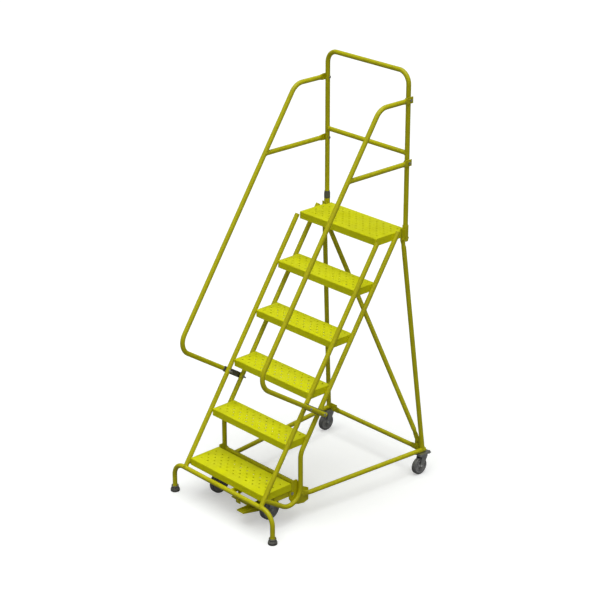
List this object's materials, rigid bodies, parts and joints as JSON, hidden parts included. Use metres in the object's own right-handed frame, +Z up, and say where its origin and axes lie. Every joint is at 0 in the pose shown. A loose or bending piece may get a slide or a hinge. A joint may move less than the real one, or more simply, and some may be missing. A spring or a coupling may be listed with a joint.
{
  "type": "mobile ladder stand",
  "caption": "Rolling stair ladder of bent tube with perforated steps, handrails, guard rail, rear swivel casters and pedal-lowered front casters.",
  "frame": {"origin": "middle of the bounding box on the floor plane, with the rubber feet standing on it", "axes": "+X is the climber's right, +Y is the climbing direction towards the guard rail, +Z is up"},
  "size_m": [0.881, 1.2647, 2.4185],
  "materials": {
    "yellow_paint": "satin powder coat",
    "grey_plate": "satin grey",
    "black_rubber": "matt",
    "zinc_steel": "zinc plated",
    "caster_steel": "zinc plated",
    "grey_tyre": "matt",
    "wheel_centre": "matt",
    "spring_steel": "drawn wire"
  },
  "bodies": {
    "ladder": {"base_rear_tube": "yellow_paint", "base_side_tube_left": "yellow_paint", "base_side_tube_right": "yellow_paint", "bracket_plates": "yellow_paint", "caster_bolts": "zinc_steel", "caster_pads": "caster_steel", "corner_brackets": "yellow_paint", "diagonal_brace": "yellow_paint", "foot_collars": "zinc_steel", "foot_tips": "black_rubber", "frame_bolts": "yellow_paint", "front_leg_tube": "yellow_paint", "front_rail_left": "yellow_paint", "front_rail_right": "yellow_paint", "guard_mid_bar": "yellow_paint", "guard_rail": "yellow_paint", "handrail_bolts": "zinc_steel", "handrail_brace_left": "yellow_paint", "handrail_brace_right": "yellow_paint", "handrail_left": "yellow_paint", "handrail_right": "yellow_paint", "handrail_straps": "grey_plate", "latch_bracket": "yellow_paint", "pivot_pins": "zinc_steel", "post_sockets": "yellow_paint", "rail_caps": "yellow_paint", "rear_cross_tube": "yellow_paint", "rear_left_caster_plate": "caster_steel", "rear_leg_left": "yellow_paint", "rear_leg_right": "yellow_paint", "rear_rail_left": "yellow_paint", "rear_rail_right": "yellow_paint", "rear_right_caster_plate": "caster_steel", "return_springs": "spring_steel", "tread_1": "yellow_paint", "tread_2": "yellow_paint", "tread_3": "yellow_paint", "tread_4": "yellow_paint", "tread_5": "yellow_paint", "tread_6": "yellow_paint"},
    "rear_left_swivel": {"rear_left_fork": "caster_steel", "rear_left_axle": "zinc_steel"},
    "rear_right_swivel": {"rear_right_fork": "caster_steel", "rear_right_axle": "zinc_steel"},
    "rear_left_wheel_body": {"rear_left_wheel": "wheel_centre", "rear_left_tyre": "grey_tyre"},
    "rear_right_wheel_body": {"rear_right_wheel": "wheel_centre", "rear_right_tyre": "grey_tyre"},
    "carrier": {"carrier_frame": "yellow_paint", "carrier_bolts": "zinc_steel", "front_axles": "zinc_steel", "front_left_fork": "caster_steel", "front_right_fork": "caster_steel", "pedal": "yellow_paint", "pedal_stay": "yellow_paint"},
    "front_left_wheel_body": {"front_left_wheel": "wheel_centre", "front_left_tyre": "grey_tyre"},
    "front_right_wheel_body": {"front_right_wheel": "wheel_centre", "front_right_tyre": "grey_tyre"},
    "latch": {"latch_lever": "yellow_paint"}
  },
  "joints": [
    {"name": "rear_left_swivel_turn", "type": "hinge", "parent": "ladder", "child": "rear_left_swivel", "pos_m": [-0.3916, 0.5879, 0.11], "axis": [0, 0, 1], "continuous": true},
    {"name": "rear_left_wheel_roll", "type": "hinge", "parent": "rear_left_swivel", "child": "rear_left_wheel_body", "pos_m": [-0.3916, 0.5629, 0.0508], "axis": [1, 0, 0], "continuous": true},
    {"name": "rear_right_swivel_turn", "type": "hinge", "parent": "ladder", "child": "rear_right_swivel", "pos_m": [0.3916, 0.5879, 0.11], "axis": [0, 0, 1], "continuous": true},
    {"name": "rear_right_wheel_roll", "type": "hinge", "parent": "rear_right_swivel", "child": "rear_right_wheel_body", "pos_m": [0.3916, 0.5629, 0.0508], "axis": [1, 0, 0], "continuous": true},
    {"name": "carrier_press", "type": "hinge", "parent": "ladder", "child": "carrier", "pos_m": [0, -0.3614, 0.175], "axis": [1, 0, 0], "range_deg": [0, 19], "stiffness_Nm_per_rad": 20, "springref_deg": -25.78, "deforming": ["return_springs"]},
    {"name": "front_left_wheel_roll", "type": "hinge", "parent": "carrier", "child": "front_left_wheel_body", "pos_m": [-0.211, -0.4454, 0.076], "axis": [1, 0, 0], "continuous": true},
    {"name": "front_right_wheel_roll", "type": "hinge", "parent": "carrier", "child": "front_right_wheel_body", "pos_m": [0.211, -0.4454, 0.076], "axis": [1, 0, 0], "continuous": true},
    {"name": "latch_swing", "type": "hinge", "parent": "ladder", "child": "latch", "pos_m": [0.067, -0.5364, 0.2], "axis": [1, 0, 0], "range_deg": [0, 10]}
  ]
}
